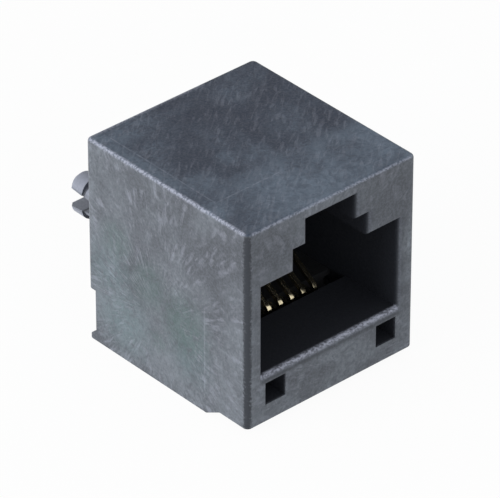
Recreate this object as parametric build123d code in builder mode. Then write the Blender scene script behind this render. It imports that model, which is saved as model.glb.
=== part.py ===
from build123d import *
from math import radians, tan
import os

# An eight-contact modular jack that stands on a circuit board behind it, resting here on its contact side.
# X runs across the jack, Y from the plug opening back to the board, Z up towards the latch notch.
# The origin is on the resting face, in the middle of the width and of the whole length with the pegs.
# In millimetres, a depth is measured back from the front face, a level up from the resting face and a
# drop down from the top face.

# Outside of the housing
width = 14.7
body_depth = 15.85
body_height = 15.75
front_level = 0.61
step_depth = 2.88
step_run = 1.14
corner_round = 0.4
rim_round = 0.25
lower_edge_round = 0.15

# Plug opening and latch notch
side_wall = 1.41
cavity_top_drop = 4.57
cavity_depth = 10.9
wide_notch_width = 6.36
wide_notch_drop = 2.9
narrow_notch_width = 4.23
top_wall = 1.0
latch_wall = 1.6
mouth_round = 0.45

# Light windows under the opening
window_width = 1.76
window_height = 1.71
window_side_wall = 1.585
window_bar = 0.585

# Bay for the carrier, cut back between the standoffs
floor_end_depth = 5.1
floor_step = 0.27
bay_side_wall = 1.15
bay_floor_level = 0.68
washout_depth = 0.75
foot_tip_level = 0.2
foot_rise = 0.61
carrier_clearance = 0.05

# Split snap pegs, each in a shallow relief
peg_spacing = 10.16
peg_to_row = 5.4
peg_radius = 0.98
peg_length = 3.4
peg_grip = 2.03
stem_reach = 0.25
barb_reach = 0.58
peg_tip_chamfer = 0.3
peg_slot_tip = 1.45
peg_slot_root = 0.7
relief_gap = 0.15
relief_depth = 0.2

# Contact strips
contact_count = 8
contact_pitch = 1.016
spring_width = 0.32
strip_thickness = 0.32
knee_gap = 0.9
bend_radius = 0.46
rise_angle = 33
free_end_reach = 0.9

# Solder tails, in two staggered rows
tail_pitch = 1.27
tail_width = 0.46
row_spacing = 2.54
row_margin = 0.4
row_cover = 0.4
tail_length = 2.9
tail_chamfer = 0.08
fan_inset = 1.6
fan_to_drop = 1.4
drop_setback = 2.45
tail_bend_radius = 0.4

# Comb for the free ends
comb_headroom = 0.455
comb_back_gap = 0.5
comb_gap = 0.12

# Carrier
nose_setback = 0.8
lead_groove = 0.6
lead_groove_spacing = 1.7
wedge_reach = 0.35
wedge_length = 1.4
wedge_height = 0.9
wedge_setback = 3.65
wedge_clearance = 0.06

# Derived places
front = -(body_depth + max(peg_length, tail_length)) / 2
board = front + body_depth
cavity_width = width - 2 * side_wall
cavity_top_level = body_height - cavity_top_drop
wide_notch_level = body_height - wide_notch_drop
latch_top_level = body_height - top_wall
lower_row_level = bay_floor_level + row_margin
upper_row_level = lower_row_level + row_spacing
bay_top_level = upper_row_level + row_cover
cavity_floor_level = bay_top_level + floor_step
window_top_level = cavity_floor_level - window_bar
window_x = width / 2 - window_side_wall - window_width / 2
bay_width = width - 2 * bay_side_wall
peg_level = upper_row_level + peg_to_row
peg_tip = board + peg_length
carrier_rear_depth = body_depth - washout_depth
carrier_width = bay_width - 2 * carrier_clearance
carrier_top_level = bay_top_level - carrier_clearance
carrier_bottom_level = bay_floor_level + carrier_clearance
carrier_middle_level = (carrier_top_level + carrier_bottom_level) / 2
wedge_depth = carrier_rear_depth - wedge_setback
knee_depth = floor_end_depth + knee_gap
nose_depth = knee_depth + nose_setback
fan_front_depth = nose_depth + fan_inset
drop_depth = carrier_rear_depth - drop_setback
fan_rear_depth = drop_depth - fan_to_drop
rise = radians(rise_angle)
knee_corner_depth = knee_depth - bend_radius / tan(rise / 2)
free_end_depth = cavity_depth + free_end_reach
free_end_level = upper_row_level + (free_end_depth - knee_corner_depth) * tan(rise)
comb_top_level = free_end_level + comb_headroom
comb_back_depth = free_end_depth + comb_back_gap


def y_at(depth):
    """The Y of a place behind the front face."""
    return front + depth


def across(depth):
    """The plane that crosses the jack at a depth, with X to the right and Z up, facing the front."""
    return Plane.XZ.offset(-y_at(depth))


def contact_x(number, pitch):
    """The X of a contact's middle, counted from 1 on the left."""
    return (number - (contact_count + 1) / 2) * pitch


def recess(x_middle, span, low_level, high_level, near_depth, far_depth):
    """Cut a square-sided hollow between two levels and two depths."""
    with BuildSketch(across(near_depth)) as outline:
        with Locations((x_middle, (low_level + high_level) / 2)):
            Rectangle(span, high_level - low_level)
    extrude(outline.sketch, amount=near_depth - far_depth, mode=Mode.SUBTRACT)


def disc(x_middle, levels, radius, near_depth, far_depth, mode):
    """Add or cut a cylinder that points at the board, or one for each of several levels."""
    with BuildSketch(across(near_depth)) as outline:
        for level in levels:
            with Locations((x_middle, level)):
                Circle(radius)
    extrude(outline.sketch, amount=near_depth - far_depth, mode=mode)


def peg(side):
    """Add one split snap peg behind the board face: a relief, two half-round legs and a barb on each."""
    x_middle = side * peg_spacing / 2
    root_depth = body_depth - relief_depth
    tip_depth = body_depth + peg_length
    stem_levels = (peg_level - stem_reach, peg_level + stem_reach)
    barb_levels = (peg_level - barb_reach, peg_level + barb_reach)
    relief_radius = peg_radius + barb_reach + relief_gap
    disc(x_middle, [peg_level], relief_radius, root_depth, body_depth, Mode.SUBTRACT)
    disc(x_middle, stem_levels, peg_radius, root_depth, tip_depth, Mode.ADD)
    disc(x_middle, barb_levels, peg_radius, body_depth + peg_grip, tip_depth, Mode.ADD)
    with BuildSketch(Plane.YZ.offset(x_middle - 2 * peg_radius)) as slot:
        with BuildLine():
            Polyline(
                (board - relief_depth, peg_level - peg_slot_root / 2),
                (peg_tip, peg_level - peg_slot_tip / 2),
                (peg_tip, peg_level + peg_slot_tip / 2),
                (board - relief_depth, peg_level + peg_slot_root / 2),
                close=True,
            )
        make_face()
    extrude(slot.sketch, amount=4 * peg_radius, mode=Mode.SUBTRACT)
    on_this_side = faces().filter_by(lambda face: abs(face.center().X - x_middle) < peg_radius)
    prong_ends = on_this_side.sort_by(Axis.Y)[-2:]
    rims = [edge for end in prong_ends for edge in end.edges() if edge.geom_type != GeomType.LINE]
    chamfer(rims, peg_tip_chamfer)


with BuildPart() as housing:
    # Block with the stepped underside
    with BuildSketch(Plane.YZ.offset(-width / 2)):
        with BuildLine():
            Polyline(
                (front, front_level),
                (front, body_height),
                (board, body_height),
                (board, 0),
                (y_at(step_depth + step_run), 0),
                (y_at(step_depth), front_level),
                close=True,
            )
        make_face()
    extrude(amount=width)
    fillet(housing.edges().filter_by(Axis.Z), corner_round)
    fillet(housing.faces().sort_by(Axis.Z)[-1].edges(), rim_round)
    front_rim = housing.edges().filter_by(Axis.X).group_by(Axis.Y)[0]
    fillet(front_rim.sort_by(Axis.Z)[0], lower_edge_round)

    # Plug cavity and stepped notch, with the latch space behind the notch's wall
    recess(0, cavity_width, cavity_floor_level, cavity_top_level, 0, cavity_depth)
    recess(0, wide_notch_width, cavity_top_level, wide_notch_level, 0, cavity_depth)
    recess(0, narrow_notch_width, wide_notch_level, latch_top_level, 0, latch_wall)
    recess(0, wide_notch_width, wide_notch_level, latch_top_level, latch_wall, cavity_depth)

    # Rounded lead-in all round the opening
    mouth = housing.faces().sort_by(Axis.Y)[0].inner_wires()[0].edges()
    fillet(mouth, mouth_round)

    # Windows, open through to the bay
    window_low_level = window_top_level - window_height
    for x_middle in (-window_x, window_x):
        recess(x_middle, window_width, window_low_level, window_top_level, 0, floor_end_depth)

    # Bay for the carrier, and the way up from it into the plug cavity
    recess(0, bay_width, bay_floor_level, bay_top_level, floor_end_depth, body_depth)
    recess(0, cavity_width, bay_top_level, cavity_floor_level, floor_end_depth, cavity_depth)

    # Wash space at the board, over a sloped foot
    with BuildSketch(Plane.YZ.offset(-width)):
        with BuildLine():
            Polyline(
                (y_at(carrier_rear_depth), foot_tip_level + foot_rise),
                (y_at(carrier_rear_depth), bay_top_level),
                (board, bay_top_level),
                (board, foot_tip_level),
                close=True,
            )
        make_face()
    extrude(amount=2 * width, mode=Mode.SUBTRACT)

    # Pockets that the carrier's wedges snap into
    pocket_width = bay_width + 2 * (wedge_reach + wedge_clearance)
    pocket_half = wedge_height / 2 + wedge_clearance
    pocket_low = carrier_middle_level - pocket_half
    pocket_high = carrier_middle_level + pocket_half
    pocket_rear_depth = wedge_depth + wedge_length + wedge_clearance
    recess(0, pocket_width, pocket_low, pocket_high, wedge_depth, pocket_rear_depth)

    # Comb slots in the back wall of the cavity, one for each free end
    for number in range(1, contact_count + 1):
        slot_x = contact_x(number, contact_pitch)
        slot_width = spring_width + 2 * comb_gap
        recess(slot_x, slot_width, bay_top_level, comb_top_level, cavity_depth, comb_back_depth)

    for side in (-1, 1):
        peg(side)
housing.part.label = "housing"


def strip(x_middle, strip_width, points, radius):
    """Add a stretch of contact strip from its side view, given as depths and levels along its middle."""
    with BuildSketch(Plane.YZ.offset(x_middle - strip_width / 2)) as side_view:
        with BuildLine():
            route = [(y_at(depth), level) for depth, level in points]
            if len(route) > 2:
                FilletPolyline(*route, radius=radius)
            else:
                Line(*route)
        trace(line_width=strip_thickness)
    extrude(side_view.sketch, amount=strip_width)


def make_contact(number):
    """One contact strip: springy leg, knee, sideways fan and solder tail."""
    spring_x = contact_x(number, contact_pitch)
    tail_x = contact_x(number, tail_pitch)
    tail_tip_depth = body_depth + tail_length
    with BuildPart() as contact:
        free_end = (free_end_depth, free_end_level)
        knee_corner = (knee_corner_depth, upper_row_level)
        spring = [free_end, knee_corner, (fan_front_depth, upper_row_level)]
        strip(spring_x, spring_width, spring, bend_radius)
        with BuildSketch(Plane.XY.offset(upper_row_level - strip_thickness / 2)):
            with BuildLine():
                Polyline(
                    (spring_x - spring_width / 2, y_at(fan_front_depth)),
                    (spring_x + spring_width / 2, y_at(fan_front_depth)),
                    (tail_x + tail_width / 2, y_at(fan_rear_depth)),
                    (tail_x - tail_width / 2, y_at(fan_rear_depth)),
                    close=True,
                )
            make_face()
        extrude(amount=strip_thickness)
        fan_end = (fan_rear_depth, upper_row_level)
        if number % 2:
            strip(tail_x, tail_width, [fan_end, (tail_tip_depth, upper_row_level)], 0)
        else:
            corners = [(drop_depth, upper_row_level), (drop_depth, lower_row_level)]
            tail = [fan_end, *corners, (tail_tip_depth, lower_row_level)]
            strip(tail_x, tail_width, tail, tail_bend_radius)
        chamfer(contact.faces().sort_by(Axis.Y)[-1].edges(), tail_chamfer)
    contact.part.label = f"contact_{number}"
    return contact.part


contacts = [make_contact(number) for number in range(1, contact_count + 1)]

with BuildPart() as contact_carrier:
    with BuildSketch(across(nose_depth)):
        with Locations((0, carrier_middle_level)):
            Rectangle(carrier_width, carrier_top_level - carrier_bottom_level)
    extrude(amount=nose_depth - carrier_rear_depth)

    # Grooves along the flanks for the leads of the lights, above and below the wedges
    for side in (-1, 1):
        groove_x = side * (carrier_width - lead_groove) / 2
        for side_up in (-1, 1):
            groove_low = carrier_middle_level + (side_up * lead_groove_spacing - lead_groove) / 2
            recess(groove_x, lead_groove, groove_low, groove_low + lead_groove, nose_depth, body_depth)

    # Wedges that snap into the pockets in the bay's walls
    for side in (-1, 1):
        with BuildSketch(Plane.XY.offset(carrier_middle_level - wedge_height / 2)):
            with BuildLine():
                Polyline(
                    (side * carrier_width / 2, y_at(wedge_depth + wedge_clearance)),
                    (side * (carrier_width / 2 + wedge_reach), y_at(wedge_depth + wedge_length)),
                    (side * carrier_width / 2, y_at(wedge_depth + wedge_length)),
                    close=True,
                )
            make_face()
        extrude(amount=wedge_height)

    # The plastic is moulded round the strips
    for contact in contacts:
        add(contact, mode=Mode.SUBTRACT)
contact_carrier.part.label = "contact_carrier"

os.makedirs("parts", exist_ok=True)
export_step(housing.part, "parts/housing.step")
export_step(contact_carrier.part, "parts/contact_carrier.step")
for contact in contacts:
    export_step(contact, f"parts/{contact.label}.step")
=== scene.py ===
from math import radians

import bpy
from bpy.props import FloatProperty, FloatVectorProperty, PointerProperty
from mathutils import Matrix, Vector


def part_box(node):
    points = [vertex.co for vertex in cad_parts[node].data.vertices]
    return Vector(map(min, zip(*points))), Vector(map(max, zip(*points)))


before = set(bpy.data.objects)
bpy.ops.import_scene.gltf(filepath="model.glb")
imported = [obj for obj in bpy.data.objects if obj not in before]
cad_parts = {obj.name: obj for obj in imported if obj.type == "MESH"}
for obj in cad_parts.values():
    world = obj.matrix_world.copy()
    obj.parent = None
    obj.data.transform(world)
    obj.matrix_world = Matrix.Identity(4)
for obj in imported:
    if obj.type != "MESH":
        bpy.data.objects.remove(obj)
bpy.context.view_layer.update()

bl_info = {
    "name": "Board jack looks",
    "version": (1, 0, 0),
    "blender": (4, 5, 0),
    "location": "3D View > Sidebar > Jack",
    "description": "Plastic, contact and stage looks for an eight-contact board jack",
    "category": "Object",
}

HOUSING_LOW, HOUSING_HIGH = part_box("housing")
HALF_WIDTH = HOUSING_HIGH.x * 1000
LEFT = -HALF_WIDTH
FRONT = HOUSING_LOW.y * 1000
TOP = HOUSING_HIGH.z * 1000
CONTACTS = sorted(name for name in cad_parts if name.startswith("contact_") and name[-1].isdigit())

# Places on the housing in millimetres, as its construction has them
BOARD = FRONT + 15.85
WASHOUT = BOARD - 0.75
CAVITY_HALF = 5.94
CAVITY_FLOOR = 4.29
WINDOW_TOP = CAVITY_FLOOR - 0.585
MOUTH_ROUND = 0.45
PEG_LEVEL = 9.02
PEG_GRIP = 2.03
CONTACT_PITCH = 1.016
STRIP_WIDTH = 0.32

# Outer layer that holds no opening's walls, thinner than the side and top walls
SKIN = 0.7

# Patches of wear on the housing's faces: their middles, how far they reach and how strong they are
PALE_SCUFFS = (
    ((3.0, 3.8, TOP), 1.8, 0.3), ((-2.1, -1.8, TOP), 1.2, 0.5), ((-5.6, 4.6, TOP), 2.2, 0.5),
    ((-6.9, -6.0, TOP), 2.2, 0.9), ((-5.4, -3.2, TOP), 2.2, 0.6), ((3.8, -1.2, TOP), 2.4, 0.25),
    ((LEFT, -8.0, 1.6), 2.8, 0.9), ((LEFT, -8.8, 7.6), 2.4, 0.9), ((LEFT, 3.4, 11.6), 2.4, 0.7),
    ((LEFT, -2.0, 1.6), 3.0, 1.0), ((LEFT, 1.5, 3.0), 3.0, 0.8), ((LEFT, 4.8, 3.6), 3.2, 1.0),
    ((LEFT, 5.9, 8.4), 3.0, 1.0), ((LEFT, 5.8, 11.8), 2.0, 0.8), ((LEFT, 3.0, 13.0), 2.4, 0.6),
    ((LEFT, -5.3, 14.6), 1.5, 0.7), ((LEFT, -5.3, 9.0), 1.6, 0.6), ((LEFT, -8.8, 4.8), 2.4, 0.8),
    ((LEFT, -8.8, 10.5), 2.2, 0.5),
)
TEAL_STAINS = (
    ((LEFT, 4.0, 6.2), 3.6, 0.5), ((LEFT, -4.0, 3.6), 3.0, 0.5), ((LEFT, 2.5, 3.2), 4.0, 0.6),
)
GREEN_STAINS = (
    ((LEFT, -3.6, 5.8), 3.4, 0.8), ((LEFT, -1.0, 3.2), 1.3, 0.5),
    ((LEFT, 0.0, 7.2), 2.8, 0.6), ((LEFT, 3.2, 9.2), 2.2, 0.6),
)
CLEANER_PATCHES = (
    ((LEFT, -7.0, 13.0), 6.5, 1.0), ((1.5, 3.0, TOP), 6.0, 0.8), ((5.2, 2.3, TOP), 2.6, 0.9),
    ((-3.6, -0.6, TOP), 3.8, 0.9), ((6.2, -2.6, TOP), 2.6, 0.7),
    ((5.5, FRONT, 13.0), 4.0, 1.0), ((-5.0, FRONT, 13.5), 4.0, 0.9), ((1.2, -5.4, TOP), 2.6, 0.5),
    ((4.2, -6.2, TOP), 2.6, 0.5), ((-5.2, -6.6, TOP), 2.0, 0.5),
)
# Share of a patch's reach over which it is at full strength
PATCH_CORE = 0.15

# Where the pale front band and left strip of the top face begin, and where each is at its palest
TOP_BAND = (-2.9, -4.9)
TOP_STRIP = (-5.7, -6.8)
# How far the band's edge wavers at most, from front to back
BAND_WAVER = 4.0

# Painted shade down the right sides of the mouth and of its notches, where their rounded lead-ins turn from
# the light: a line and its reach
PAINTED_SHADE_JAMBS = (
    ((6.15, FRONT, 5.6), (6.15, FRONT, 11.0), 0.75), ((3.3, FRONT, 11.9), (3.3, FRONT, 12.8), 0.6),
    ((2.35, FRONT, 13.6), (2.35, FRONT, 14.8), 0.6),
)

# The slant of the top's streaks, and where those of the left and front faces fan out from
TOP_SLANT = radians(40)
LEFT_FAN = (-0.8, 5.2)
FRONT_FAN = (2.0, 1.5)
# How finely a fan is split round its point and outwards
FAN_ROUND = 8.0
FAN_OUTWARDS = 0.28
# How far from its point a fan's streaks start to strengthen, and where they are at full strength
FAN_START = (0.8, 3.5)

# Faint lines where the mould's inserts met, each from one end to the other
WITNESS_LINES = (
    ((-6.2, FRONT + 4.3, TOP), (-6.2, FRONT + 14.6, TOP)),
    ((-6.2, FRONT + 4.3, TOP), (-0.8, FRONT + 4.3, TOP)),
    ((LEFT, FRONT + 4.15, TOP - 14.0), (LEFT, FRONT + 4.15, TOP - 7.7)),
)

# How far the pale lines, the lip's painted highlight and the painted shade reach to each side, in
# millimetres
WITNESS_REACH = 0.09
LEFT_EDGE_REACH = 0.27
FRONT_EDGE_REACH = 0.22
REAR_EDGE_REACH = 0.4
LIP_HIGHLIGHT_REACH = 0.33
CORNER_SHADE_REACH = 0.85
UNDER_LIP_SHADE_REACH = 0.32

# How strongly each kind of mark shows, from 0 to 1
SCUFF_STRENGTH = 0.9
TOP_CLOUDS = 0.48
TOP_STRIP_STRENGTH = 0.8
STREAK_STRENGTH = 0.2
FLECK_STRENGTH = 0.09
PEG_PALE_AND_LIGHT = 0.5
EDGE_WEAR_AND_HIGHLIGHT = 0.9
REAR_EDGE_WEAR = 0.5
RIM_WEAR = 0.12
JAMB_SHADE_STRENGTH = 0.35
UNDER_LIP_SHADE = 0.6
UNDERCUT_SHADE = 0.8

# Values between which most of a noise lies
NOISE_RANGE = (0.3, 0.7)

# Strength of the top's and the front's streaks beside those of the left face
TOP_STREAKS = 0.55
FRONT_STREAKS = 0.7

# Shine of both plastics, what the inside adds to the roughness, and how deep streaks lie beside the speckle
PLASTIC_SHINE = 0.3
INSIDE_DULLNESS = 0.35
STREAK_RELIEF = 1.6

# Depth of each surface's fine relief in millimetres
HOUSING_RELIEF = 0.018
CARRIER_RELIEF = 0.01
STRIP_RELIEF = 0.005

# Stage in metres: the floor, both lamps and the point they are aimed at
FLOOR_SIZE = 3
KEY_PLACE = (-0.42, 0.06, 0.12)
FILL_PLACE = (-0.08, -0.42, 0.14)
LAMP_TARGET = (0, 0, 0.008)
LAMP_SIZE = 0.3

# How much of the floor shows plain white to the camera, and the tint of the light from all round
FLOOR_GLOW = 0.95
SKY_COLOUR = (0.95, 0.98, 1, 1)

# Camera in metres, degrees and millimetres, fitted to the straight edges of the photographed jack
CAMERA_PLACE = (-0.18739, -0.21164, 0.19573)
CAMERA_ELEVATION = 33.756
CAMERA_AZIMUTH = -41.748
CAMERA_LENS = 370.03
CAMERA_SENSOR = 36
CAMERA_CLIP = (0.01, 10)


class JackHousingFinish(bpy.types.PropertyGroup):
    """Colours and surface of the moulded housing"""
    plastic: FloatVectorProperty(
        name="Plastic", description="Colour of the moulded plastic where it has been handled a little",
        subtype="COLOR", size=4, min=0, max=1, default=(0.059, 0.066, 0.078, 1))
    scuffed: FloatVectorProperty(
        name="Scuffed plastic", description="Colour where handling has dulled and lightened the plastic",
        subtype="COLOR", size=4, min=0, max=1, default=(0.137, 0.155, 0.177, 1))
    # Partly painted shade: far darker than the plastic outside, for the little light inside the openings
    unworn_and_shaded: FloatVectorProperty(
        name="Unworn plastic", description="Colour of the black plastic inside the openings",
        subtype="COLOR", size=4, min=0, max=1, default=(0.0080, 0.0098, 0.0150, 1))
    green: FloatVectorProperty(
        name="Green stain", description="Colour of the darker green patches in the stain", subtype="COLOR",
        size=4, min=0, max=1, default=(0.059, 0.096, 0.093, 1))
    stained: FloatVectorProperty(
        name="Teal stain", description="Colour of the broad stain low on the left", subtype="COLOR",
        size=4, min=0, max=1, default=(0.100, 0.149, 0.160, 1))
    # Pale rubbed wear, also used for the lip's painted highlight and the pegs' painted light
    pale_wear_and_light: FloatVectorProperty(
        name="Worn edge", description="Colour of the rubbed edges", subtype="COLOR",
        size=4, min=0, max=1, default=(0.42, 0.44, 0.53, 1))
    # Painted shade for the front corner, the right jambs, the hollow under the lip and the undercut
    painted_shade: FloatVectorProperty(
        name="Dark edge", description="Colour of the corner between the left and front faces",
        subtype="COLOR", size=4, min=0, max=1, default=(0.026, 0.030, 0.038, 1))
    # Partly painted shade: the top gets less light, as well as being handled least
    clean_and_shaded_top: FloatVectorProperty(
        name="Clean top", description="Colour of the top face, which has been handled least",
        subtype="COLOR", size=4, min=0, max=1, default=(0.008, 0.015, 0.033, 1))
    # Partly painted shade: darkened so the carrier reads black in the cavity
    carrier: FloatVectorProperty(
        name="Carrier", description="Colour of the hidden contact carrier", subtype="COLOR",
        size=4, min=0, max=1, default=(0.020, 0.021, 0.024, 1))
    top_scuffed: FloatVectorProperty(
        name="Scuffed top", description="Colour of the pale scuffs on the top face", subtype="COLOR",
        size=4, min=0, max=1, default=(0.114, 0.151, 0.200, 1))
    roughness: FloatProperty(
        name="Roughness", description="Roughness of the plastic between the scuffs",
        min=0, max=1, default=0.5)


class JackContactFinish(bpy.types.PropertyGroup):
    """Colours and surface of the contact strips"""
    gold: FloatVectorProperty(
        name="Gold", description="Colour of the plated strips", subtype="COLOR",
        size=4, min=0, max=1, default=(0.86, 0.76, 0.52, 1))
    roughness: FloatProperty(
        name="Roughness", description="Roughness of the plating", min=0, max=1, default=0.19)


class JackStageSetup(bpy.types.PropertyGroup):
    """Floor, light and background round the jack"""
    floor: FloatVectorProperty(
        name="Floor", description="Colour of the plain floor", subtype="COLOR",
        size=4, min=0, max=1, default=(0.86, 0.86, 0.86, 1))
    key_power: FloatProperty(
        name="Key light", description="Power of the large soft light on the left",
        unit="POWER", min=0, default=1.75)
    fill_power: FloatProperty(
        name="Fill light", description="Power of the soft light in front",
        unit="POWER", min=0, default=0.62)
    sky: FloatProperty(
        name="Sky", description="Strength of the even light from all round", min=0, default=0.55)


def start_tree(owner):
    """Empty the node tree of a material or a world and give it back."""
    owner.use_nodes = True
    owner.node_tree.nodes.clear()
    return owner.node_tree


def node(tree, kind, values=None, **settings):
    """Add a node, set its settings, and set or link its inputs."""
    made = tree.nodes.new(kind)
    for name, value in settings.items():
        setattr(made, name, value)
    for socket, value in (values or {}).items():
        if isinstance(value, bpy.types.NodeSocket):
            tree.links.new(value, made.inputs[socket])
        else:
            made.inputs[socket].default_value = value
    return made


def math_node(tree, operation, first, second=0.0, clamp=False):
    """One sum on two numbers."""
    values = {0: first, 1: second}
    return node(tree, "ShaderNodeMath", values, operation=operation, use_clamp=clamp).outputs[0]


def times(tree, first, second):
    """One number times another."""
    return math_node(tree, "MULTIPLY", first, second)


def vector_node(tree, operation, first, second):
    """One sum on two vectors."""
    return node(tree, "ShaderNodeVectorMath", {0: first, 1: second}, operation=operation).outputs["Vector"]


def millimetres(tree):
    """Object coordinates in millimetres."""
    place = node(tree, "ShaderNodeTexCoord").outputs["Object"]
    return node(tree, "ShaderNodeMapping", {"Vector": place, "Scale": (1000, 1000, 1000)}).outputs["Vector"]


def ramp(tree, value, low, high, out_low=0.0, out_high=1.0):
    """Turn a number's range into another, clamped and smooth."""
    values = {"Value": value, "From Min": low, "From Max": high, "To Min": out_low, "To Max": out_high}
    return node(tree, "ShaderNodeMapRange", values, interpolation_type="SMOOTHSTEP").outputs["Result"]


def grain(tree, place, scale, detail, stretch=(1, 1, 1), warp=0.0):
    """Noise of a number of features per millimetre, stretched and warped."""
    mapped = node(tree, "ShaderNodeMapping", {"Vector": place, "Scale": stretch}).outputs["Vector"]
    values = {"Vector": mapped, "Scale": scale, "Detail": detail, "Distortion": warp}
    return node(tree, "ShaderNodeTexNoise", values).outputs["Fac"]


def uneven_roughness(tree, noise, middle):
    """Roughness that follows noise from a little below a value to a little above it."""
    return ramp(tree, noise, *NOISE_RANGE, middle - 0.06, middle + 0.08)


def blend_colour(tree, share, first, second):
    """Mix two colours."""
    # Inputs 6 and 7 and output 2 are the node's colours
    mix = node(tree, "ShaderNodeMix", data_type="RGBA")
    for socket, value in zip((mix.inputs["Factor"], mix.inputs[6], mix.inputs[7]), (share, first, second)):
        if isinstance(value, bpy.types.NodeSocket):
            tree.links.new(value, socket)
        else:
            socket.default_value = value
    return mix.outputs[2]


def near_line(tree, place, start, end, reach):
    """1 on the straight line from start to end, fading to 0 at reach from it."""
    start, end = Vector(start), Vector(end)
    run = end - start
    offset = vector_node(tree, "SUBTRACT", place, tuple(start))
    by_length = tuple(run / run.length_squared)
    dot = node(tree, "ShaderNodeVectorMath", {0: offset, 1: by_length}, operation="DOT_PRODUCT")
    share = math_node(tree, "ADD", dot.outputs["Value"], 0.0, clamp=True)
    along = node(tree, "ShaderNodeVectorMath", {0: tuple(run), "Scale": share}, operation="SCALE")
    across = vector_node(tree, "SUBTRACT", offset, along.outputs["Vector"])
    gap = node(tree, "ShaderNodeVectorMath", {0: across}, operation="LENGTH").outputs["Value"]
    return ramp(tree, gap, 0.0, reach, 1.0, 0.0)


def most(tree, masks):
    """The largest of several masks."""
    result = masks[0]
    for mask in masks[1:]:
        result = math_node(tree, "MAXIMUM", result, mask)
    return result


def finish_surface(tree, values, height, depth):
    """A principled surface with a bump of a depth in millimetres."""
    bump = node(tree, "ShaderNodeBump", {"Height": height, "Distance": depth / 1000, "Strength": 1.0})
    surface = node(tree, "ShaderNodeBsdfPrincipled", {**values, "Normal": bump.outputs["Normal"]})
    node(tree, "ShaderNodeOutputMaterial", {"Surface": surface.outputs["BSDF"]})


def spots(tree, place, marks):
    """The strongest of several round marks, each given by its middle, reach and strength."""
    made = []
    for middle, reach, strength in marks:
        gap = node(tree, "ShaderNodeVectorMath", {0: place, 1: middle}, operation="DISTANCE")
        made.append(ramp(tree, gap.outputs["Value"], PATCH_CORE * reach, reach, strength, 0.0))
    return most(tree, made)


def fan_streaks(tree, place, up, across, middle):
    """Fine streaks, in broken groups, that fan out from a point of a face."""
    across = math_node(tree, "SUBTRACT", across, middle[0])
    up = math_node(tree, "SUBTRACT", up, middle[1])
    turn = math_node(tree, "ARCTAN2", across, up)
    flat = node(tree, "ShaderNodeCombineXYZ", {0: across, 1: up}).outputs["Vector"]
    reach = node(tree, "ShaderNodeVectorMath", {0: flat}, operation="LENGTH").outputs["Value"]
    round_and_out = {0: times(tree, turn, FAN_ROUND), 1: times(tree, reach, FAN_OUTWARDS)}
    spread = node(tree, "ShaderNodeCombineXYZ", round_and_out).outputs["Vector"]
    lines = ramp(tree, grain(tree, spread, 2.8, 4.0, warp=0.6), 0.44, 0.66)
    groups = ramp(tree, grain(tree, place, 0.5, 4.0, warp=1.5), 0.4, 0.62)
    groups = times(tree, groups, ramp(tree, reach, *FAN_START, 0.1, 1.0))
    return times(tree, lines, groups)


def slanting_streaks(tree, place, slant):
    """Fine, nearly straight streaks, in broken groups, that slant across a level face."""
    turned = node(tree, "ShaderNodeMapping", {"Vector": place, "Rotation": (0, 0, -slant)}).outputs["Vector"]
    lines = ramp(tree, grain(tree, turned, 3.6, 4.0, stretch=(0.22, 1, 1), warp=0.5), 0.46, 0.68)
    groups = ramp(tree, grain(tree, place, 0.5, 4.0, warp=1.5), 0.36, 0.6, 0.25, 1.0)
    return times(tree, lines, groups)


def span(tree, value, low, high, fade):
    """1 between two numbers, fading to 0 just outside them."""
    rising = ramp(tree, value, low - fade, low)
    return times(tree, rising, ramp(tree, value, high, high + fade, 1.0, 0.0))


def under_skin(tree, axes):
    """1 well in from the sides, the top and the stepped underside."""
    off_middle = math_node(tree, "ABSOLUTE", axes["X"])
    across = ramp(tree, off_middle, HALF_WIDTH - SKIN, HALF_WIDTH - SKIN + 0.1, 1.0, 0.0)
    level = span(tree, axes["Z"], SKIN + 0.3, TOP - SKIN, 0.1)
    return times(tree, across, level)


def inside_openings(tree, axes):
    """1 on the walls of the openings, fading out over the rounded lead-in."""
    in_mouth = ramp(tree, axes["Y"], FRONT - 0.05, FRONT + 0.7 * MOUTH_ROUND)
    at_windows = ramp(tree, axes["Z"], WINDOW_TOP + 0.025, WINDOW_TOP + 0.085, 1.0, 0.0)
    in_windows = times(tree, at_windows, ramp(tree, axes["Y"], FRONT + 0.01, FRONT + 0.05))
    before_board = ramp(tree, axes["Y"], WASHOUT - 0.15, WASHOUT - 0.05, 1.0, 0.0)
    between = times(tree, most(tree, [in_mouth, in_windows]), before_board)
    return times(tree, under_skin(tree, axes), between)


def pale_top(tree, axes, mottle):
    """The front band and the left strip of the top face, which handling has paled most."""
    waver = times(tree, math_node(tree, "SUBTRACT", mottle, 0.5), BAND_WAVER)
    band = ramp(tree, math_node(tree, "ADD", axes["Y"], waver), *TOP_BAND)
    strip = times(tree, ramp(tree, axes["X"], *TOP_STRIP), TOP_STRIP_STRENGTH)
    return times(tree, most(tree, [band, strip]), ramp(tree, mottle, *NOISE_RANGE, 0.4, 0.8))


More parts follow.
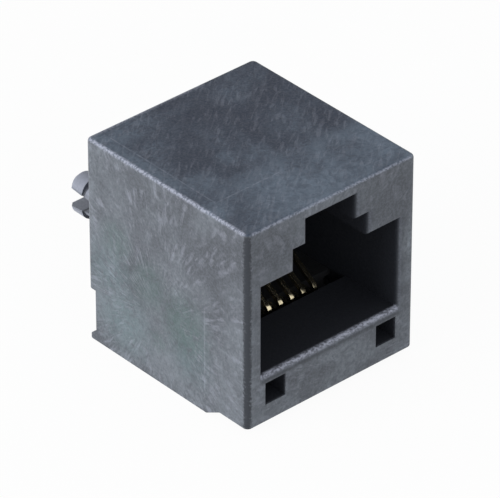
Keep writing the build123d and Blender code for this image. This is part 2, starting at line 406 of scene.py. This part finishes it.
def cloudy_grey(tree, place, axes, top_face, finish):
    """The plastic's uneven greying, with its pale scuffs and its teal and green stains."""
    clouds = ramp(tree, grain(tree, place, 0.28, 6.0, warp=1.2), *NOISE_RANGE)
    mottle = grain(tree, place, 1.5, 6.0, warp=1.6)
    broken = ramp(tree, mottle, *NOISE_RANGE, 0.25, 1.0)
    scuffs = times(tree, spots(tree, place, PALE_SCUFFS), ramp(tree, mottle, *NOISE_RANGE, 0.45, 1.0))
    handled = math_node(tree, "SUBTRACT", 1.0, spots(tree, place, CLEANER_PATCHES))
    on_top = times(tree, pale_top(tree, axes, mottle), times(tree, top_face, handled))
    scuffs = most(tree, [scuffs, on_top])
    grey = times(tree, times(tree, clouds, broken), handled)
    sides = blend_colour(tree, grey, tuple(finish.plastic), tuple(finish.scuffed))
    # The top's colours are partly painted shade for the less lit top
    top_grey = times(tree, grey, TOP_CLOUDS)
    top = blend_colour(tree, top_grey, tuple(finish.clean_and_shaded_top), tuple(finish.top_scuffed))
    plain = blend_colour(tree, top_face, sides, top)
    pale = blend_colour(tree, top_face, tuple(finish.scuffed), tuple(finish.top_scuffed))
    paled = blend_colour(tree, times(tree, scuffs, SCUFF_STRENGTH), plain, pale)
    uneven = ramp(tree, mottle, 0.2, 0.6)
    teal = times(tree, spots(tree, place, TEAL_STAINS), uneven)
    stained = blend_colour(tree, teal, paled, tuple(finish.stained))
    green = times(tree, spots(tree, place, GREEN_STAINS), uneven)
    return blend_colour(tree, green, stained, tuple(finish.green))


def flow_streaks(tree, place, axes, top_face, left_face):
    """The streaks that slant over the top and fan out over the left and front faces."""
    on_top = times(tree, slanting_streaks(tree, place, TOP_SLANT), TOP_STREAKS)
    on_left = fan_streaks(tree, place, axes["Z"], axes["Y"], LEFT_FAN)
    on_front = times(tree, fan_streaks(tree, place, axes["Z"], axes["X"], FRONT_FAN), FRONT_STREAKS)
    front_face = ramp(tree, axes["Y"], FRONT + 0.01, FRONT + 0.06, 1.0, 0.0)
    faces = ((on_top, top_face), (on_left, left_face), (on_front, front_face))
    return most(tree, [times(tree, streaks, face) for streaks, face in faces])


def rubbed_edges_and_lip_highlight(tree, place, axes):
    """The upper edges and the rim of the mouth, rubbed pale in patches, and the plug lip, rubbed and given a
    painted highlight along its rounding.
    """
    inset = LEFT + 0.08
    left_top = near_line(tree, place, (inset, FRONT + 0.5, TOP), (inset, BOARD, TOP), LEFT_EDGE_REACH)
    front_end = (HALF_WIDTH, FRONT, TOP)
    front_top = near_line(tree, place, (LEFT + 0.6, FRONT, TOP), front_end, FRONT_EDGE_REACH)
    rear_top = near_line(tree, place, (LEFT, BOARD - 0.1, TOP), (2.5, BOARD - 0.1, TOP), REAR_EDGE_REACH)
    rear_top = times(tree, rear_top, REAR_EDGE_WEAR)
    # Painted highlight along the top of the lip's rounding, together with its rubbed wear
    lip_highlight_line = (FRONT + 0.22, CAVITY_FLOOR - 0.1)
    lip = near_line(tree, place, (-CAVITY_HALF, *lip_highlight_line), (CAVITY_HALF, *lip_highlight_line), LIP_HIGHLIGHT_REACH)
    rim = times(tree, span(tree, axes["Y"], FRONT + 0.06, FRONT + 0.12, 0.05), under_skin(tree, axes))
    rim = times(tree, rim, RIM_WEAR)
    beaded = ramp(tree, grain(tree, place, 7.0, 5.0), 0.36, 0.6, 0.25, 1.0)
    upper = times(tree, most(tree, [left_top, front_top, rear_top]), beaded)
    rubbed = ramp(tree, grain(tree, place, 6.5, 5.0, stretch=(0.7, 1, 1)), 0.36, 0.62, 0.3, 1.0)
    return most(tree, [upper, times(tree, most(tree, [lip, rim]), rubbed)])


def pale_and_lit_pegs(tree, axes):
    """The round outsides of the peg legs, paler than their slots: partly paler plastic, partly painted light
    that lifts the pegs out of their shade.
    """
    off_middle = math_node(tree, "ABSOLUTE", math_node(tree, "SUBTRACT", axes["Z"], PEG_LEVEL))
    outside = ramp(tree, off_middle, 0.72, 0.86, 0.55, 1.0)
    return times(tree, outside, ramp(tree, axes["Y"], BOARD + 0.05, BOARD + 0.2))


def painted_shade_seams(tree, place, axes):
    """Painted shade: the front corner's dark reflection, the right jambs, the hollow under the lip and the
    undercut behind the barbs.
    """
    corner = near_line(tree, place, (LEFT, FRONT, 0), (LEFT, FRONT, TOP - 0.4), CORNER_SHADE_REACH)
    ragged = times(tree, math_node(tree, "SUBTRACT", grain(tree, place, 6.0, 5.0), 0.5), 0.9)
    corner = ramp(tree, math_node(tree, "ADD", corner, ragged), 0.45, 0.8, 0.0, 1.0)
    lip_foot = (FRONT, CAVITY_FLOOR - 0.42)
    under_lip = near_line(tree, place, (-CAVITY_HALF, *lip_foot), (CAVITY_HALF, *lip_foot), UNDER_LIP_SHADE_REACH)
    undercut = span(tree, axes["Y"], BOARD + PEG_GRIP - 0.16, BOARD + PEG_GRIP - 0.02, 0.05)
    jambs = most(tree, [near_line(tree, place, start, end, reach) for start, end, reach in PAINTED_SHADE_JAMBS])
    seams = ((jambs, JAMB_SHADE_STRENGTH), (under_lip, UNDER_LIP_SHADE), (undercut, UNDERCUT_SHADE))
    return most(tree, [corner] + [times(tree, seam, strength) for seam, strength in seams])


def housing_plastic(finish):
    """Black moulded plastic, greyed by handling outside and dark inside, with rubbed edges; painted shade
    darkens its inside, corner, jambs and hollows, a painted highlight runs along the lip and painted light
    lifts the pegs.
    """
    material = bpy.data.materials.new("moulded_plastic")
    tree = start_tree(material)
    place = millimetres(tree)
    axes = node(tree, "ShaderNodeSeparateXYZ", {0: place}).outputs
    top_face = ramp(tree, axes["Z"], TOP - 0.2, TOP - 0.02)
    left_face = ramp(tree, axes["X"], LEFT + 0.02, LEFT + 0.3, 1.0, 0.0)
    wear_and_light = tuple(finish.pale_wear_and_light)

    # Colour from the plain greying up to the marks laid over it
    colour = cloudy_grey(tree, place, axes, top_face, finish)
    streaked = flow_streaks(tree, place, axes, top_face, left_face)
    flecks = ramp(tree, grain(tree, place, 7.0, 4.0), 0.34, 0.70, 0.0, FLECK_STRENGTH)
    flecks = times(tree, flecks, ramp(tree, top_face, 0.0, 1.0, 1.0, 0.55))
    marks = math_node(tree, "ADD", times(tree, streaked, STREAK_STRENGTH), flecks)
    colour = blend_colour(tree, marks, colour, wear_and_light)
    witness = most(tree, [near_line(tree, place, start, end, WITNESS_REACH) for start, end in WITNESS_LINES])
    witness = times(tree, witness, ramp(tree, grain(tree, place, 1.6, 4.0), 0.38, 0.6, 0.05, 0.18))
    colour = blend_colour(tree, witness, colour, wear_and_light)
    # Paler pegs: partly paler plastic, partly painted light on their shaded faces
    colour = blend_colour(tree, times(tree, pale_and_lit_pegs(tree, axes), PEG_PALE_AND_LIGHT), colour, wear_and_light)
    # Painted shade in the front corner, the right jambs, under the lip and in the undercut
    colour = blend_colour(tree, painted_shade_seams(tree, place, axes), colour, tuple(finish.painted_shade))

    # Black plastic inside the openings, left unrubbed and darkened further as painted shade for the little
    # light there, which the rubbed lip still covers
    inside = inside_openings(tree, axes)
    colour = blend_colour(tree, inside, colour, tuple(finish.unworn_and_shaded))
    # Rubbed edges, with the lip's painted highlight
    colour = blend_colour(tree, times(tree, rubbed_edges_and_lip_highlight(tree, place, axes), EDGE_WEAR_AND_HIGHLIGHT), colour, wear_and_light)
    speckle = grain(tree, place, 5.0, 4.0)
    rough = uneven_roughness(tree, speckle, finish.roughness)
    rough = math_node(tree, "ADD", rough, times(tree, inside, INSIDE_DULLNESS), clamp=True)
    relief = math_node(tree, "SUBTRACT", speckle, times(tree, streaked, STREAK_RELIEF))
    values = {"Base Color": colour, "Roughness": rough, "Specular IOR Level": PLASTIC_SHINE}
    finish_surface(tree, values, relief, HOUSING_RELIEF)
    return material


def carrier_plastic(finish):
    """Darker moulded plastic of the hidden carrier, darkened partly as painted shade for the dark cavity it
    sits in.
    """
    material = bpy.data.materials.new("carrier_plastic")
    tree = start_tree(material)
    place = millimetres(tree)
    clouds = grain(tree, place, 0.5, 4.0)
    speckle = grain(tree, place, 7.0, 3.0)
    darker = tuple(0.7 * value for value in finish.carrier[:3]) + (1,)
    colour = blend_colour(tree, ramp(tree, clouds, *NOISE_RANGE), darker, tuple(finish.carrier))
    rough = ramp(tree, speckle, *NOISE_RANGE, 0.5, 0.62)
    values = {"Base Color": colour, "Roughness": rough, "Specular IOR Level": PLASTIC_SHINE}
    finish_surface(tree, values, speckle, CARRIER_RELIEF)
    return material


def plated_strip(finish):
    """Thin gold plating, drawn along the strips, with their stamped edges rolled over."""
    material = bpy.data.materials.new("plated_strip")
    tree = start_tree(material)
    place = millimetres(tree)
    drawn = grain(tree, place, 3.0, 3.0, stretch=(5, 0.2, 0.2))
    clouds = grain(tree, place, 0.8, 3.0)
    dull = tuple(0.6 * value for value in finish.gold[:3]) + (1,)
    colour = blend_colour(tree, ramp(tree, clouds, 0.35, 0.65), dull, tuple(finish.gold))
    rough = uneven_roughness(tree, drawn, finish.roughness)
    across = node(tree, "ShaderNodeSeparateXYZ", {0: place}).outputs["X"]
    share = math_node(tree, "FRACT", math_node(tree, "DIVIDE", across, CONTACT_PITCH))
    off_middle = times(tree, math_node(tree, "SUBTRACT", share, 0.5), 2 * CONTACT_PITCH / STRIP_WIDTH)
    fall = math_node(tree, "POWER", math_node(tree, "ABSOLUTE", off_middle), 4.0)
    rolled = math_node(tree, "SUBTRACT", 1.0, fall, clamp=True)
    relief = math_node(tree, "ADD", rolled, times(tree, drawn, 0.1))
    finish_surface(tree, {"Base Color": colour, "Metallic": 1.0, "Roughness": rough}, relief, STRIP_RELIEF)
    return material


def dress(names, material):
    """Give CAD nodes a material."""
    for name in names:
        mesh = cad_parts[name].data
        mesh.materials.clear()
        mesh.materials.append(material)


def soft_light(name, place, power):
    """A large square lamp aimed at the jack."""
    lamp = bpy.data.lights.new(name, "AREA")
    lamp.size = LAMP_SIZE
    lamp.energy = power
    light = bpy.data.objects.new(name, lamp)
    light.location = place
    light.rotation_euler = (Vector(LAMP_TARGET) - Vector(place)).to_track_quat("-Z", "Y").to_euler()
    bpy.context.scene.collection.objects.link(light)


def background_rays(tree):
    """1 for rays that show the pale background: straight to the camera, mirrored or seen through."""
    path = node(tree, "ShaderNodeLightPath")
    seen = math_node(tree, "MAXIMUM", path.outputs["Is Camera Ray"], path.outputs["Is Glossy Ray"])
    return math_node(tree, "MAXIMUM", seen, path.outputs["Is Transmission Ray"])


def floor_paint(setup):
    """Matte pale floor that looks almost white to the camera and keeps the jack's shadow."""
    material = bpy.data.materials.new("floor_paint")
    tree = start_tree(material)
    share = times(tree, background_rays(tree), FLOOR_GLOW)
    paint = node(tree, "ShaderNodeBsdfDiffuse", {"Color": tuple(setup.floor)})
    glow = node(tree, "ShaderNodeEmission", {"Color": (1, 1, 1, 1), "Strength": 1.0})
    mixed = node(tree, "ShaderNodeMixShader", {0: share, 1: paint.outputs[0], 2: glow.outputs[0]})
    node(tree, "ShaderNodeOutputMaterial", {"Surface": mixed.outputs[0]})
    return material


def light_world(scene, setup):
    """Even light from all round, seen as white behind the jack."""
    scene.world = bpy.data.worlds.new("studio")
    tree = start_tree(scene.world)
    sky = node(tree, "ShaderNodeBackground", {"Color": SKY_COLOUR, "Strength": setup.sky})
    white = node(tree, "ShaderNodeBackground", {"Color": (1, 1, 1, 1), "Strength": 1.0})
    share = background_rays(tree)
    mixed = node(tree, "ShaderNodeMixShader", {0: share, 1: sky.outputs[0], 2: white.outputs[0]})
    node(tree, "ShaderNodeOutputWorld", {"Surface": mixed.outputs[0]})


class JACK_OT_housing(bpy.types.Operator):
    """Give the housing its scuffed moulded plastic"""
    bl_idname = "jack.housing"
    bl_label = "Housing"

    def execute(self, context):
        dress(["housing"], housing_plastic(context.scene.jack_housing))
        return {"FINISHED"}


class JACK_OT_carrier(bpy.types.Operator):
    """Give the contact carrier its darker moulded plastic, darkened partly as painted shade"""
    bl_idname = "jack.carrier"
    bl_label = "Contact carrier"

    def execute(self, context):
        dress(["contact_carrier"], carrier_plastic(context.scene.jack_housing))
        return {"FINISHED"}


class JACK_OT_contacts(bpy.types.Operator):
    """Give the eight contact strips their plating"""
    bl_idname = "jack.contacts"
    bl_label = "Contact strips"

    def execute(self, context):
        dress(CONTACTS, plated_strip(context.scene.jack_contacts))
        return {"FINISHED"}


class JACK_OT_stage(bpy.types.Operator):
    """Make the floor, the soft light, the pale background and the camera"""
    bl_idname = "jack.stage"
    bl_label = "Stage"

    def execute(self, context):
        setup = context.scene.jack_stage
        bpy.ops.object.select_all(action="DESELECT")
        bpy.ops.mesh.primitive_plane_add(size=FLOOR_SIZE, location=(0, 0, 0))
        floor = context.object
        floor.name = "floor"
        floor.data.materials.append(floor_paint(setup))
        light_world(context.scene, setup)
        soft_light("key_light", KEY_PLACE, setup.key_power)
        soft_light("fill_light", FILL_PLACE, setup.fill_power)
        camera = bpy.data.objects.new("camera", bpy.data.cameras.new("camera"))
        camera.data.lens = CAMERA_LENS
        camera.data.sensor_width = CAMERA_SENSOR
        camera.data.clip_start, camera.data.clip_end = CAMERA_CLIP
        camera.location = CAMERA_PLACE
        camera.rotation_euler = (radians(90 - CAMERA_ELEVATION), 0, radians(CAMERA_AZIMUTH))
        context.scene.collection.objects.link(camera)
        context.scene.camera = camera
        context.scene.view_settings.view_transform = "Standard"
        return {"FINISHED"}


class JACK_PT_sidebar(bpy.types.Panel):
    """Buttons for the jack's pieces and stage"""
    bl_idname = "JACK_PT_sidebar"
    bl_label = "Board jack"
    bl_space_type = "VIEW_3D"
    bl_region_type = "UI"
    bl_category = "Jack"

    def draw(self, context):
        scene = context.scene
        for operator, group in (
                ("jack.housing", scene.jack_housing), ("jack.carrier", None),
                ("jack.contacts", scene.jack_contacts), ("jack.stage", scene.jack_stage)):
            self.layout.operator(operator)
            if group:
                for name in group.__annotations__:
                    self.layout.prop(group, name)


CLASSES = (
    JackHousingFinish, JackContactFinish, JackStageSetup,
    JACK_OT_housing, JACK_OT_carrier, JACK_OT_contacts, JACK_OT_stage, JACK_PT_sidebar,
)


def register():
    for made in CLASSES:
        bpy.utils.register_class(made)
    bpy.types.Scene.jack_housing = PointerProperty(type=JackHousingFinish)
    bpy.types.Scene.jack_contacts = PointerProperty(type=JackContactFinish)
    bpy.types.Scene.jack_stage = PointerProperty(type=JackStageSetup)


def unregister():
    del bpy.types.Scene.jack_stage, bpy.types.Scene.jack_contacts, bpy.types.Scene.jack_housing
    for made in reversed(CLASSES):
        bpy.utils.unregister_class(made)


def main():
    """Dress the jack and set the stage."""
    register()
    bpy.ops.jack.housing()
    bpy.ops.jack.carrier()
    bpy.ops.jack.contacts()
    bpy.ops.jack.stage()


if __name__ == "__main__":
    main()
